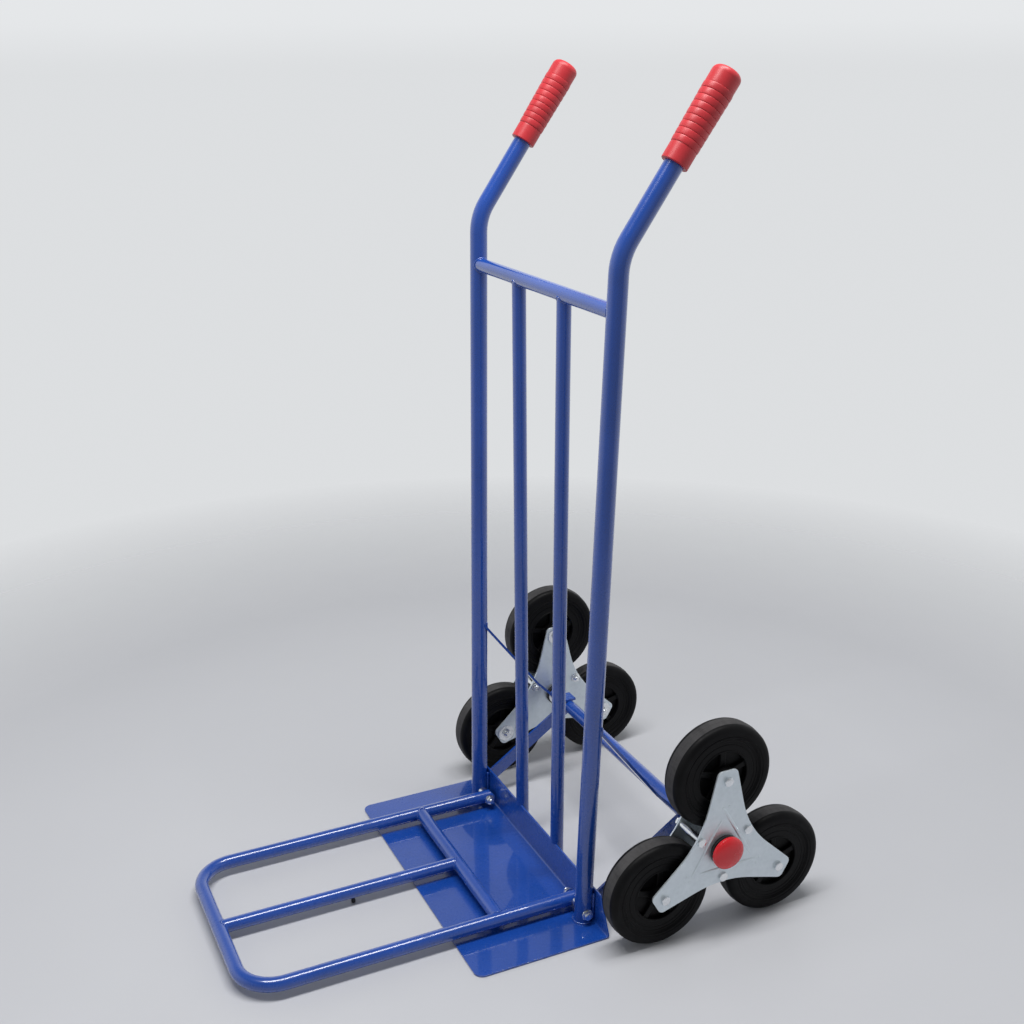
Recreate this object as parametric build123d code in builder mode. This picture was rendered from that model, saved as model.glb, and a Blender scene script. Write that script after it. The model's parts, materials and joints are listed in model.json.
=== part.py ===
"""Stair-climbing sack truck with a folding load extension and two three-wheel clusters.

Millimetres. +X is one side of the truck, -Y is the toe side, +Y the wheel side, +Z is up.
The origin is on the floor, at mid width, below the feet of the two uprights.
"""

import os
from math import acos, cos, radians, sin

from build123d import *

os.makedirs("parts", exist_ok=True)

# Uprights and handles: one bent tube each side, splayed outwards and leaning back
FRAME_TUBE_RADIUS = 13.5
FRAME_TUBE_WALL = 1.5
FOOT_X = 192.8
FOOT_Y = -1.0
SPLAY = 0.0267
LEAN = 0.0251
BEND_HEIGHT = 1003.4
BEND_RADIUS = 80.0
HANDLE_ANGLE = 34.6
HANDLE_LENGTH = 262.0

# Rubber grips, measured along the handle from the corner of the bend
GRIP_START = 132.0
GRIP_END = 266.0
GRIP_COLLAR = 24.0
GRIP_CROWN = 26.0
GRIP_LOW_RADIUS = 18.8
GRIP_HIGH_RADIUS = 20.4
GRIP_RINGS = 9
GRIP_RING_RISE = 0.9
GRIP_EDGE = 1.5
GRIP_CROWN_EDGE = 9.0

# Crossbar and the two inner bars
CROSSBAR_RADIUS = 10.75
CROSSBAR_HEIGHT = 931.0
INNER_BAR_RADIUS = 10.5
INNER_BAR_FOOT_X = 62.8
INNER_BAR_TOP_X = 72.0
INNER_BAR_Y = 21.0
INNER_BAR_FOOT = 7.0
THIN_WALL = 1.2

# Toe plate with a rear flange bent up to the lean of the uprights
SHEET = 3.0
PLATE_HALF_WIDTH = 248.65
PLATE_FRONT = -199.0
PLATE_CORNER = 14.0
FLANGE_TOP = 57.0
FLANGE_TOP_HALF_WIDTH = 219.0
FLANGE_BEND = 3.0
CUT_MARGIN = 1.0

# Folding extension: a bent hoop, a cross tube, a middle rail and its foot
PIVOT_HEIGHT = 20.0
RAIL_RADIUS = 10.75
RAIL_WALL = 1.5
CROSS_TUBE_RADIUS = 10.5
MIDDLE_RAIL_RADIUS = 10.25
RAIL_X = 160.4
HOOP_FRONT = -508.8
HOOP_CORNER = 56.0
CROSS_TUBE_Y = -124.2
PEG_Y = -300.0
PEG_RADIUS = 3.2

# Pivot bolts of the extension
BOLT_RADIUS = 4.0
BOLT_HOLE_RADIUS = 4.2
PIVOT_BORE_RADIUS = 4.06
HEAD_ACROSS_FLATS = 13.0
HEAD_HEIGHT = 5.3
NUT_HEIGHT = 6.5
WASHER_RADIUS = 8.5
WASHER = 1.6
SPACER_RADIUS = 7.5
BOLT_TAIL = 2.5
SIDE_PLAY = 0.3
SPLAY_SLACK = 0.3

# Axle and the braces that carry it
AXLE_Y = 174.8
AXLE_RADIUS = 11.0
AXLE_END = 314.0
WHEEL_RADIUS = 83.0
ARM_RADIUS = 114.2
AXLE_HEIGHT = WHEEL_RADIUS + ARM_RADIUS / 2
BRACE_WIDTH = 22.0
BRACE_THICKNESS = 4.0
LOWER_BRACE_X = 196.0
LOWER_BRACE_FOOT = 30.0
UPPER_BRACE_WIDTH = 25.0
UPPER_BRACE_X = 200.8
UPPER_BRACE_TOP = 322.0
UPPER_BRACE_KNEE = (112.0, 199.0)
UPPER_BRACE_BEND = 14.0
UPPER_BRACE_LAP = 18.0

# Wheel clusters: two star plates each side, three arms at 120 degrees
ARM_ANGLES = (90.0, 210.0, 330.0)
INNER_FACE = 249.5
OUTER_FACE = 298.0
STAR_SHEET = 3.0
STAR_TIP = 131.0
STAR_TIP_FLAT = 9.0
STAR_TIP_HALF = 16.4
STAR_SIDE_START = 128.0
STAR_NOTCH = 54.0
STAR_NOTCH_FILLET = 45.0
STAR_CORNER = 2.5
SPACER_BOLT_RADIUS = 46.6
SPACER_TUBE_RADIUS = 6.5

# Cluster hub on the axle
SLEEVE_RADIUS = 17.0
BUSH_RADIUS = 14.0
BUSH_INNER_RADIUS = 18.0
BUSH_OUTER_RADIUS = 24.0
BUSH_REACH = 20.0
BUSH_INNER_FLANGE = 6.0
BUSH_OUTER_FLANGE = 5.0
RUNNING_FIT = 0.06
AXLE_WASHER_RADIUS = 16.0
AXLE_WASHER = 1.5
CAP_RADIUS = 25.6
CAP_NECK_RADIUS = 15.0
CAP_NECK = 1.0
CAP_FACE = 320.0
CAP_RIM = 3.8
CAP_EDGE = 1.0

# Wheels: solid rubber tyre on a moulded rim that turns on a steel tube
WHEEL_WIDTH = 38.0
TYRE_SEAT_RADIUS = 60.5
TYRE_SHOULDER = 9.0
TREAD_CROWN = 1.0
TYRE_GROOVE_RADIUS = 66.0
TYRE_GROOVE = 1.2
RIM_WIDTH = 32.0
RIM_RING = 20.5
RIM_HUB_RADIUS = 17.0
RIM_HUB_PLAY = 0.5
RIM_WEB = 14.0
RIM_OVERLAP = 1.0
RIM_RIB_DEPTH = 26.0
RIM_RIBS = 5
RIB_WIDTH = 9.0
WHEEL_TUBE_RADIUS = 7.0
WHEEL_WASHER_RADIUS = 15.0
WHEEL_WASHER = 2.0

# Half length of the solids that the ends of joined tubes are cut to
JOINT_REACH = 60.0


def upright_point(height):
    """Point on the +X upright's straight centre line at a given height."""
    return Vector(FOOT_X + SPLAY * (height - SHEET), FOOT_Y + LEAN * height, height)


def cluster_point(angle, radius, across=0.0):
    """Point of a cluster in Y and Z: out along an arm's direction, then across it."""
    turn = radians(angle)
    along_y = radius * cos(turn) + across * sin(turn)
    along_z = radius * sin(turn) - across * cos(turn)
    return (AXLE_Y + along_y, AXLE_HEIGHT + along_z)


def save(part, name):
    """Write one node."""
    part.label = name
    export_step(part, f"parts/{name}.step")


def save_pair(part, name):
    """Write a node of the +X side and its mirror image, as right and left."""
    with BuildPart() as opposite:
        mirror(part, about=Plane.YZ)
    save(part, f"{name}_right")
    save(opposite.part, f"{name}_left")


def save_both_sides(part, name):
    """Write one node that holds the pieces of the +X side and their mirror images."""
    with BuildPart() as both:
        add(part)
        mirror(part, about=Plane.YZ)
    save(both.part, name)


def straight_tube(start, end, radius, wall=0.0, mouths=()):
    """A tube or, with no wall, a rod; the mouths are the solids that its ends are cut to."""
    with BuildPart() as tube:
        with BuildSketch(Plane(origin=start, z_dir=end - start)):
            Circle(radius)
            if wall:
                Circle(radius - wall, mode=Mode.SUBTRACT)
        extrude(amount=(end - start).length)
        for mouth in mouths:
            add(mouth, mode=Mode.SUBTRACT)
    return tube.part


def rings_along_x(places, radius, bore, start, length):
    """Round spacers, bushes or washers along X, at places given in Y and Z."""
    with BuildPart() as rings:
        with BuildSketch(Plane.YZ.offset(start)):
            with Locations(*places):
                Circle(radius)
                if bore:
                    Circle(bore, mode=Mode.SUBTRACT)
        extrude(amount=length)
    return rings.part


def hex_bolts(places, head_start, head_length, tail_end):
    """Hexagon bolts along X: the head goes outwards from head_start, the shank inwards."""
    with BuildPart() as bolts:
        with BuildSketch(Plane.YZ.offset(head_start)):
            with Locations(*places):
                RegularPolygon(HEAD_ACROSS_FLATS / 2, 6, major_radius=False)
        extrude(amount=head_length)
        with BuildSketch(Plane.YZ.offset(tail_end)):
            with Locations(*places):
                Circle(BOLT_RADIUS)
        extrude(amount=head_start - tail_end)
    return bolts.part


def hex_nuts(places, start):
    """Hexagon nuts along X, on the shanks of the bolts."""
    with BuildPart() as nuts:
        with BuildSketch(Plane.YZ.offset(start)):
            with Locations(*places):
                RegularPolygon(HEAD_ACROSS_FLATS / 2, 6, major_radius=False)
                Circle(BOLT_RADIUS, mode=Mode.SUBTRACT)
        extrude(amount=NUT_HEIGHT)
    return nuts.part


# Toe plate: an L-shaped profile drawn in Y and Z
flange_front_at_floor = FOOT_Y + FRAME_TUBE_RADIUS
flange_front_at_top = flange_front_at_floor + LEAN * FLANGE_TOP

with BuildPart() as toe_plate:
    with BuildSketch(Plane.YZ.offset(-PLATE_HALF_WIDTH)):
        with BuildLine():
            Polyline(
                (PLATE_FRONT, 0),
                (flange_front_at_floor + SHEET, 0),
                (flange_front_at_top + SHEET, FLANGE_TOP),
                (flange_front_at_top, FLANGE_TOP),
                (flange_front_at_floor + LEAN * SHEET, SHEET),
                (PLATE_FRONT, SHEET),
                close=True,
            )
        plate_outline = make_face()
        lower_corners = plate_outline.vertices().filter_by_position(
            Axis.Y, -CUT_MARGIN, SHEET + CUT_MARGIN
        )
        outer_corner = lower_corners.sort_by(Axis.X)[-1]
        inner_corner = lower_corners.sort_by(Axis.X)[-2]
        fillet(outer_corner, FLANGE_BEND + SHEET)
        fillet(inner_corner, FLANGE_BEND)
    extrude(amount=2 * PLATE_HALF_WIDTH)
    with BuildSketch(Plane.XZ):
        with BuildLine():
            Polyline(
                (FLANGE_TOP_HALF_WIDTH, FLANGE_TOP + CUT_MARGIN),
                (PLATE_HALF_WIDTH + CUT_MARGIN, FLANGE_TOP + CUT_MARGIN),
                (PLATE_HALF_WIDTH + CUT_MARGIN, SHEET),
                (PLATE_HALF_WIDTH, SHEET),
                close=True,
            )
        make_face()
        mirror(about=Plane.YZ)
    extrude(amount=2 * FRAME_TUBE_RADIUS, both=True, mode=Mode.SUBTRACT)
    front_corners = toe_plate.edges().filter_by(Axis.Z).group_by(Axis.Y)[0]
    fillet(front_corners, PLATE_CORNER)
save(toe_plate.part, "toe_plate")

# Upright and handle in one bent tube; its plane holds the upright and the handle
bend_corner = upright_point(BEND_HEIGHT)
upright_direction = (bend_corner - upright_point(0.0)).normalized()
handle_direction = Vector(0, sin(radians(HANDLE_ANGLE)), cos(radians(HANDLE_ANGLE)))
bend_angle = acos(upright_direction.dot(handle_direction))
upright_length = (bend_corner - upright_point(0.0)).length
bend_plane = Plane(
    origin=bend_corner,
    x_dir=upright_direction,
    z_dir=upright_direction.cross(handle_direction),
)

with BuildPart() as upright:
    with BuildLine(bend_plane):
        centre_line = FilletPolyline(
            (-upright_length, 0),
            (0, 0),
            (HANDLE_LENGTH * cos(bend_angle), HANDLE_LENGTH * sin(bend_angle)),
            radius=BEND_RADIUS,
        )
    with BuildSketch(Plane(origin=centre_line @ 0, z_dir=centre_line % 0)):
        Circle(FRAME_TUBE_RADIUS)
        Circle(FRAME_TUBE_RADIUS - FRAME_TUBE_WALL, mode=Mode.SUBTRACT)
    sweep()
    split(bisect_by=Plane.XY.offset(SHEET), keep=Keep.TOP)
    add(toe_plate.part, mode=Mode.SUBTRACT)
    with Locations(Plane(origin=(FOOT_X, FOOT_Y, PIVOT_HEIGHT), z_dir=(1, 0, 0))):
        Hole(BOLT_HOLE_RADIUS)
save_pair(upright.part, "upright")

# Grip: a sleeve with a collar, a ringed middle and a closed rounded crown
across_handle = Vector(0, cos(radians(HANDLE_ANGLE)), -sin(radians(HANDLE_ANGLE)))
grip_plane = Plane(
    origin=bend_corner,
    x_dir=across_handle,
    z_dir=across_handle.cross(handle_direction),
)
rings_start = GRIP_START + GRIP_COLLAR
rings_end = GRIP_END - GRIP_CROWN
ring_pitch = (rings_end - rings_start) / GRIP_RINGS
ring_growth = (GRIP_HIGH_RADIUS - GRIP_LOW_RADIUS) / GRIP_RINGS
crown_cut = GRIP_CROWN_EDGE * (1 - cos(radians(45)))

with BuildPart() as grip:
    with BuildSketch(grip_plane):
        with BuildLine():
            Polyline(
                (GRIP_LOW_RADIUS, rings_start),
                (GRIP_LOW_RADIUS, GRIP_START + GRIP_EDGE),
                (GRIP_LOW_RADIUS - GRIP_EDGE, GRIP_START),
                (FRAME_TUBE_RADIUS, GRIP_START),
                (FRAME_TUBE_RADIUS, HANDLE_LENGTH),
                (0, HANDLE_LENGTH),
                (0, GRIP_END),
                (GRIP_HIGH_RADIUS - GRIP_CROWN_EDGE, GRIP_END),
            )
            ThreePointArc(
                (GRIP_HIGH_RADIUS - GRIP_CROWN_EDGE, GRIP_END),
                (GRIP_HIGH_RADIUS - crown_cut, GRIP_END - crown_cut),
                (GRIP_HIGH_RADIUS, GRIP_END - GRIP_CROWN_EDGE),
            )
            Line(
                (GRIP_HIGH_RADIUS, GRIP_END - GRIP_CROWN_EDGE),
                (GRIP_HIGH_RADIUS, rings_end),
            )
            for ring in range(GRIP_RINGS):
                low = (
                    GRIP_LOW_RADIUS + ring_growth * ring,
                    rings_start + ring_pitch * ring,
                )
                high = (
                    GRIP_LOW_RADIUS + ring_growth * (ring + 1),
                    rings_start + ring_pitch * (ring + 1),
                )
                crest = (
                    GRIP_LOW_RADIUS + ring_growth * (ring + 0.5) + GRIP_RING_RISE,
                    rings_start + ring_pitch * (ring + 0.5),
                )
                ThreePointArc(low, crest, high)
        make_face()
    revolve(axis=Axis(origin=bend_corner, direction=handle_direction))
save_pair(grip.part, "grip")

# Crossbar, its ends cut to the uprights
crossbar_right = upright_point(CROSSBAR_HEIGHT)
crossbar_left = Vector(-crossbar_right.X, crossbar_right.Y, crossbar_right.Z)
upright_core = straight_tube(
    upright_point(CROSSBAR_HEIGHT - JOINT_REACH),
    upright_point(CROSSBAR_HEIGHT + JOINT_REACH),
    FRAME_TUBE_RADIUS,
)
with BuildPart() as upright_cores:
    add(upright_core)
    mirror(upright_core, about=Plane.YZ)
top_crossbar = straight_tube(
    crossbar_left,
    crossbar_right,
    CROSSBAR_RADIUS,
    THIN_WALL,
    mouths=[upright_cores.part],
)
save(top_crossbar, "top_crossbar")

# Inner bars, from just above the floor to the underside of the crossbar; the front of each
# foot is cut away flat where it sits against the back of the flange
flange_back_at_floor = flange_front_at_floor + SHEET
flange_back_at_top = flange_front_at_top + SHEET
with BuildPart() as space_before_flange:
    with BuildSketch(Plane.YZ.offset(-PLATE_HALF_WIDTH)):
        with BuildLine():
            Polyline(
                (PLATE_FRONT, 0),
                (flange_back_at_floor, 0),
                (flange_back_at_top, FLANGE_TOP),
                (PLATE_FRONT, FLANGE_TOP),
                close=True,
            )
        make_face()
    extrude(amount=2 * PLATE_HALF_WIDTH)

crossbar_core = straight_tube(crossbar_left, crossbar_right, CROSSBAR_RADIUS)
inner_bar = straight_tube(
    Vector(INNER_BAR_FOOT_X, INNER_BAR_Y, INNER_BAR_FOOT),
    Vector(INNER_BAR_TOP_X, crossbar_right.Y, CROSSBAR_HEIGHT),
    INNER_BAR_RADIUS,
    THIN_WALL,
    mouths=[crossbar_core, space_before_flange.part],
)
save_pair(inner_bar, "inner_bar")

# Axle: one rod across the truck
axle = straight_tube(
    Vector(-AXLE_END, AXLE_Y, AXLE_HEIGHT), Vector(AXLE_END, AXLE_Y, AXLE_HEIGHT), AXLE_RADIUS
)
save(axle, "axle")

# Lower brace: a flat bar on edge, from the back of the flange to the axle
with BuildPart() as lower_brace:
    brace_foot = Vector(0, flange_front_at_top, LOWER_BRACE_FOOT)
    brace_run = Vector(0, AXLE_Y, AXLE_HEIGHT) - brace_foot
    brace_plane = Plane(
        origin=(LOWER_BRACE_X - BRACE_THICKNESS / 2, brace_foot.Y, brace_foot.Z),
        x_dir=brace_run,
        z_dir=(1, 0, 0),
    )
    with BuildSketch(brace_plane):
        Rectangle(brace_run.length, BRACE_WIDTH, align=(Align.MIN, Align.CENTER))
    extrude(amount=BRACE_THICKNESS)
    add(axle, mode=Mode.SUBTRACT)
    add(space_before_flange.part, mode=Mode.SUBTRACT)
save_pair(lower_brace.part, "lower_brace")

# Upper brace: a flat bar bent twice, from the back of the upright to the top of the axle
strap_end_height = AXLE_HEIGHT + AXLE_RADIUS + BRACE_THICKNESS / 2
upright_envelope = straight_tube(
    upright_point(UPPER_BRACE_KNEE[1]),
    upright_point(UPPER_BRACE_TOP + JOINT_REACH),
    FRAME_TUBE_RADIUS,
)
knee_y, knee_z = UPPER_BRACE_KNEE
with BuildPart() as upper_brace:
    with BuildLine(Plane.YZ.offset(UPPER_BRACE_X)):
        strap_line = FilletPolyline(
            (upright_point(UPPER_BRACE_TOP).Y, UPPER_BRACE_TOP + FRAME_TUBE_RADIUS),
            (knee_y, knee_z),
            (AXLE_Y - UPPER_BRACE_LAP, strap_end_height),
            (AXLE_Y + AXLE_RADIUS, strap_end_height),
            radius=UPPER_BRACE_BEND,
        )
    with BuildSketch(Plane(origin=strap_line @ 0, x_dir=(1, 0, 0), z_dir=strap_line % 0)):
        Rectangle(UPPER_BRACE_WIDTH, BRACE_THICKNESS)
    sweep()
    add(upright_envelope, mode=Mode.SUBTRACT)
save_pair(upper_brace.part, "upper_brace")

# Folding extension: the hoop's two ends turn on the pivot bolts
rail_end = FOOT_Y + RAIL_RADIUS
with BuildPart() as extension_hoop:
    with BuildLine(Plane.XY.offset(PIVOT_HEIGHT)):
        hoop_line = FilletPolyline(
            (RAIL_X, rail_end),
            (RAIL_X, HOOP_FRONT),
            (-RAIL_X, HOOP_FRONT),
            (-RAIL_X, rail_end),
            radius=HOOP_CORNER,
        )
    with BuildSketch(Plane(origin=hoop_line @ 0, z_dir=hoop_line % 0)):
        Circle(RAIL_RADIUS)
        Circle(RAIL_RADIUS - RAIL_WALL, mode=Mode.SUBTRACT)
    sweep()
    with BuildSketch(Plane.YZ.offset(-2 * RAIL_X)):
        with Locations((FOOT_Y, PIVOT_HEIGHT)):
            Rectangle(2 * RAIL_RADIUS, 3 * RAIL_RADIUS, align=(Align.MIN, Align.CENTER))
            Circle(RAIL_RADIUS, mode=Mode.SUBTRACT)
    extrude(amount=4 * RAIL_X, mode=Mode.SUBTRACT)
    with Locations(Plane(origin=(0, FOOT_Y, PIVOT_HEIGHT), z_dir=(1, 0, 0))):
        Hole(PIVOT_BORE_RADIUS)
save(extension_hoop.part, "extension_hoop")

# Cross tube and middle rail of the extension
cross_tube_right = Vector(RAIL_X, CROSS_TUBE_Y, PIVOT_HEIGHT)
cross_tube_left = Vector(-RAIL_X, CROSS_TUBE_Y, PIVOT_HEIGHT)
along_rail = Vector(0, JOINT_REACH, 0)
rail_core = straight_tube(
    cross_tube_right - along_rail, cross_tube_right + along_rail, RAIL_RADIUS
)
with BuildPart() as rail_cores:
    add(rail_core)
    mirror(rail_core, about=Plane.YZ)
cross_tube = straight_tube(
    cross_tube_left, cross_tube_right, CROSS_TUBE_RADIUS, RAIL_WALL, mouths=[rail_cores.part]
)
save(cross_tube, "cross_tube")

middle_front = Vector(0, HOOP_FRONT, PIVOT_HEIGHT)
middle_back = Vector(0, CROSS_TUBE_Y, PIVOT_HEIGHT)
along_front = Vector(JOINT_REACH, 0, 0)
front_bar_core = straight_tube(middle_front - along_front, middle_front + along_front, RAIL_RADIUS)
cross_tube_core = straight_tube(cross_tube_left, cross_tube_right, CROSS_TUBE_RADIUS)
middle_rail = straight_tube(
    middle_front,
    middle_back,
    MIDDLE_RAIL_RADIUS,
    RAIL_WALL,
    mouths=[front_bar_core, cross_tube_core],
)
save(middle_rail, "middle_rail")

# Foot under the middle rail
middle_rail_core = straight_tube(middle_front, middle_back, MIDDLE_RAIL_RADIUS)
extension_foot = straight_tube(
    Vector(0, PEG_Y, 0), Vector(0, PEG_Y, PIVOT_HEIGHT), PEG_RADIUS, mouths=[middle_rail_core]
)
save(extension_foot, "extension_foot")

# Pivot hardware of the extension, from the outside of the upright inwards
pivot = [(FOOT_Y, PIVOT_HEIGHT)]
upright_outside = upright_point(PIVOT_HEIGHT).X + FRAME_TUBE_RADIUS
upright_inside = upright_point(PIVOT_HEIGHT).X - FRAME_TUBE_RADIUS
rail_outside = RAIL_X + RAIL_RADIUS
rail_inside = RAIL_X - RAIL_RADIUS
spacer_length = upright_inside - rail_outside - SIDE_PLAY
inner_washer_start = rail_inside - SIDE_PLAY - WASHER
pivot_nut_start = inner_washer_start - NUT_HEIGHT

pivot_bolt = hex_bolts(
    pivot, upright_outside + WASHER + SPLAY_SLACK, HEAD_HEIGHT, pivot_nut_start - BOLT_TAIL
)
save_both_sides(pivot_bolt, "pivot_bolts")

pivot_nut = hex_nuts(pivot, pivot_nut_start)
save_both_sides(pivot_nut, "pivot_nuts")

outer_washer = rings_along_x(
    pivot, WASHER_RADIUS, BOLT_RADIUS, upright_outside + SPLAY_SLACK, WASHER
)
inner_washer = rings_along_x(pivot, WASHER_RADIUS, BOLT_RADIUS, inner_washer_start, WASHER)
with BuildPart() as pivot_washers:
    add(outer_washer)
    add(inner_washer)
save_both_sides(pivot_washers.part, "pivot_washers")

pivot_spacer = rings_along_x(
    pivot,
    SPACER_RADIUS,
    BOLT_RADIUS,
    rail_outside + SIDE_PLAY,
    spacer_length - SPLAY_SLACK,
)
save_both_sides(pivot_spacer, "pivot_spacers")

# Star plates of the wheel clusters
hub = [(AXLE_Y, AXLE_HEIGHT)]
wheel_places = [cluster_point(angle, ARM_RADIUS) for angle in ARM_ANGLES]
spacer_places = [cluster_point(angle + 60, SPACER_BOLT_RADIUS) for angle in ARM_ANGLES]

star_outline = []
for angle in ARM_ANGLES:
    star_outline.append(cluster_point(angle, STAR_SIDE_START, STAR_TIP_HALF))
    star_outline.append(cluster_point(angle, STAR_TIP, STAR_TIP_FLAT))
    star_outline.append(cluster_point(angle, STAR_TIP, -STAR_TIP_FLAT))
    star_outline.append(cluster_point(angle, STAR_SIDE_START, -STAR_TIP_HALF))
    star_outline.append(cluster_point(angle + 60, STAR_NOTCH))


def star_plate(start):
    """One star plate with its bush hole and its six bolt holes."""
    with BuildPart() as star:
        with BuildSketch(Plane.YZ.offset(start)):
            with BuildLine():
                Polyline(*star_outline, close=True)
            outline = make_face()
            by_distance = outline.vertices().sort_by_distance((AXLE_Y, AXLE_HEIGHT, 0))
            fillet(by_distance[:3], STAR_NOTCH_FILLET)
            fillet(by_distance[3:], STAR_CORNER)
            with Locations(*hub):
                Circle(BUSH_RADIUS, mode=Mode.SUBTRACT)
            with Locations(*wheel_places, *spacer_places):
                Circle(BOLT_HOLE_RADIUS, mode=Mode.SUBTRACT)
        extrude(amount=STAR_SHEET)
    return star.part


save_pair(star_plate(OUTER_FACE), "outer_star_plate")
save_pair(star_plate(INNER_FACE - STAR_SHEET), "inner_star_plate")

# Cluster hub: a steel sleeve between the plates and a flanged bush at each end
gap_between_plates = OUTER_FACE - INNER_FACE
save_pair(
    rings_along_x(hub, SLEEVE_RADIUS, BUSH_RADIUS, INNER_FACE, gap_between_plates), "hub_sleeve"
)

inner_plate_face = INNER_FACE - STAR_SHEET
outer_plate_face = OUTER_FACE + STAR_SHEET
bush_bore = AXLE_RADIUS + RUNNING_FIT
with BuildPart() as hub_bushes:
    add(
        rings_along_x(
            hub,
            BUSH_INNER_RADIUS,
            bush_bore,
            inner_plate_face - BUSH_INNER_FLANGE,
            BUSH_INNER_FLANGE,
        )
    )
    add(rings_along_x(hub, BUSH_RADIUS, bush_bore, inner_plate_face, BUSH_REACH))
    add(rings_along_x(hub, BUSH_OUTER_RADIUS, bush_bore, outer_plate_face, BUSH_OUTER_FLANGE))
    add(rings_along_x(hub, BUSH_RADIUS, bush_bore, outer_plate_face - BUSH_REACH, BUSH_REACH))
save_pair(hub_bushes.part, "hub_bushes")

# Washers that keep each cluster in place along the axle
washer_inside = inner_plate_face - BUSH_INNER_FLANGE - SIDE_PLAY - AXLE_WASHER
washer_outside = outer_plate_face + BUSH_OUTER_FLANGE + SIDE_PLAY
with BuildPart() as axle_washers:
    add(rings_along_x(hub, AXLE_WASHER_RADIUS, AXLE_RADIUS, washer_inside, AXLE_WASHER))
    add(rings_along_x(hub, AXLE_WASHER_RADIUS, AXLE_RADIUS, washer_outside, AXLE_WASHER))
save_both_sides(axle_washers.part, "axle_washers")

# Hub cap: a domed cap pressed on the axle's end, with a narrower neck behind it
cap_back = washer_outside + AXLE_WASHER
cap_rim_start = cap_back + CAP_NECK
cap_rim_end = cap_rim_start + CAP_RIM
with BuildPart() as hub_cap:
    with BuildSketch(Plane.XY.offset(AXLE_HEIGHT)):
        with BuildLine():
            Polyline(
                (CAP_FACE, AXLE_Y),
                (AXLE_END, AXLE_Y),
                (AXLE_END, AXLE_Y + AXLE_RADIUS),
                (cap_back, AXLE_Y + AXLE_RADIUS),
                (cap_back, AXLE_Y + CAP_NECK_RADIUS),
                (cap_rim_start, AXLE_Y + CAP_NECK_RADIUS),
                (cap_rim_start, AXLE_Y + CAP_RADIUS - CAP_EDGE),
                (cap_rim_start + CAP_EDGE, AXLE_Y + CAP_RADIUS),
                (cap_rim_end, AXLE_Y + CAP_RADIUS),
            )
            TangentArc(
                (CAP_FACE, AXLE_Y), (cap_rim_end, AXLE_Y + CAP_RADIUS), tangent=(0, 1)
            )
        make_face()
    revolve(axis=Axis(origin=(0, AXLE_Y, AXLE_HEIGHT), direction=(1, 0, 0)))
save_pair(hub_cap.part, "hub_cap")

# Spacer tubes and bolts between the star plates
spacers = rings_along_x(
    spacer_places, SPACER_TUBE_RADIUS, BOLT_HOLE_RADIUS, INNER_FACE, gap_between_plates
)
save_pair(spacers, "spacer_tubes")

spacer_nut_start = inner_plate_face - WASHER - NUT_HEIGHT
spacer_bolts = hex_bolts(
    spacer_places, outer_plate_face, HEAD_HEIGHT, spacer_nut_start - BOLT_TAIL
)
save_pair(spacer_bolts, "spacer_bolts")

spacer_washers = rings_along_x(
    spacer_places, WASHER_RADIUS, BOLT_RADIUS, inner_plate_face - WASHER, WASHER
)
save_pair(spacer_washers, "spacer_washers")

# Wheel axles: a steel tube between the plates, a bolt through it, a large washer and a nut
wheel_tubes = rings_along_x(
    wheel_places, WHEEL_TUBE_RADIUS, BOLT_HOLE_RADIUS, INNER_FACE, gap_between_plates
)
save_pair(wheel_tubes, "wheel_axle_tubes")

wheel_nut_start = inner_plate_face - WHEEL_WASHER - NUT_HEIGHT
wheel_bolts = hex_bolts(wheel_places, outer_plate_face, HEAD_HEIGHT, wheel_nut_start - BOLT_TAIL)
save_pair(wheel_bolts, "wheel_axle_bolts")

wheel_washers = rings_along_x(
    wheel_places,
    WHEEL_WASHER_RADIUS,
    BOLT_RADIUS,
    inner_plate_face - WHEEL_WASHER,
    WHEEL_WASHER,
)
save_pair(wheel_washers, "wheel_washers")

with BuildPart() as cluster_nuts:
    add(hex_nuts(spacer_places, spacer_nut_start))
    add(hex_nuts(wheel_places, wheel_nut_start))
save_pair(cluster_nuts.part, "cluster_nuts")

# Wheels: each has its own tyre and rim
wheel_middle = (INNER_FACE + OUTER_FACE) / 2
tyre_half = WHEEL_WIDTH / 2
rim_half = RIM_WIDTH / 2
rim_ring_inside = TYRE_SEAT_RADIUS - RIM_RING
hub_half = gap_between_plates / 2 - RIM_HUB_PLAY
tread_edge = (tyre_half - TYRE_SHOULDER, WHEEL_RADIUS - TREAD_CROWN)
side_top = (tyre_half, WHEEL_RADIUS - TYRE_SHOULDER - TREAD_CROWN)
shoulder_cut = TYRE_SHOULDER * (1 - cos(radians(45)))
shoulder_middle = (tyre_half - shoulder_cut, WHEEL_RADIUS - TREAD_CROWN - shoulder_cut)


def tyre_at(place):
    """Solid tyre: crowned tread, round shoulders and a fine groove in each side."""
    wheel_y, wheel_z = place
    middle = (wheel_middle, wheel_y, wheel_z)
    with BuildPart() as tyre:
        with BuildSketch(Plane(origin=middle)):
            with BuildLine():
                TangentArc((0, WHEEL_RADIUS), tread_edge, tangent=(1, 0))
                ThreePointArc(tread_edge, shoulder_middle, side_top)
                Polyline(
                    side_top,
                    (tyre_half, TYRE_GROOVE_RADIUS + TYRE_GROOVE),
                    (tyre_half - TYRE_GROOVE, TYRE_GROOVE_RADIUS),
                    (tyre_half - TYRE_GROOVE / 2, TYRE_GROOVE_RADIUS - TYRE_GROOVE),
                    (rim_half, TYRE_SEAT_RADIUS),
                    (0, TYRE_SEAT_RADIUS),
                )
                mirror(about=Plane.YZ)
            make_face()
        revolve(axis=Axis(origin=middle, direction=(1, 0, 0)))
    return tyre.part


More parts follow.
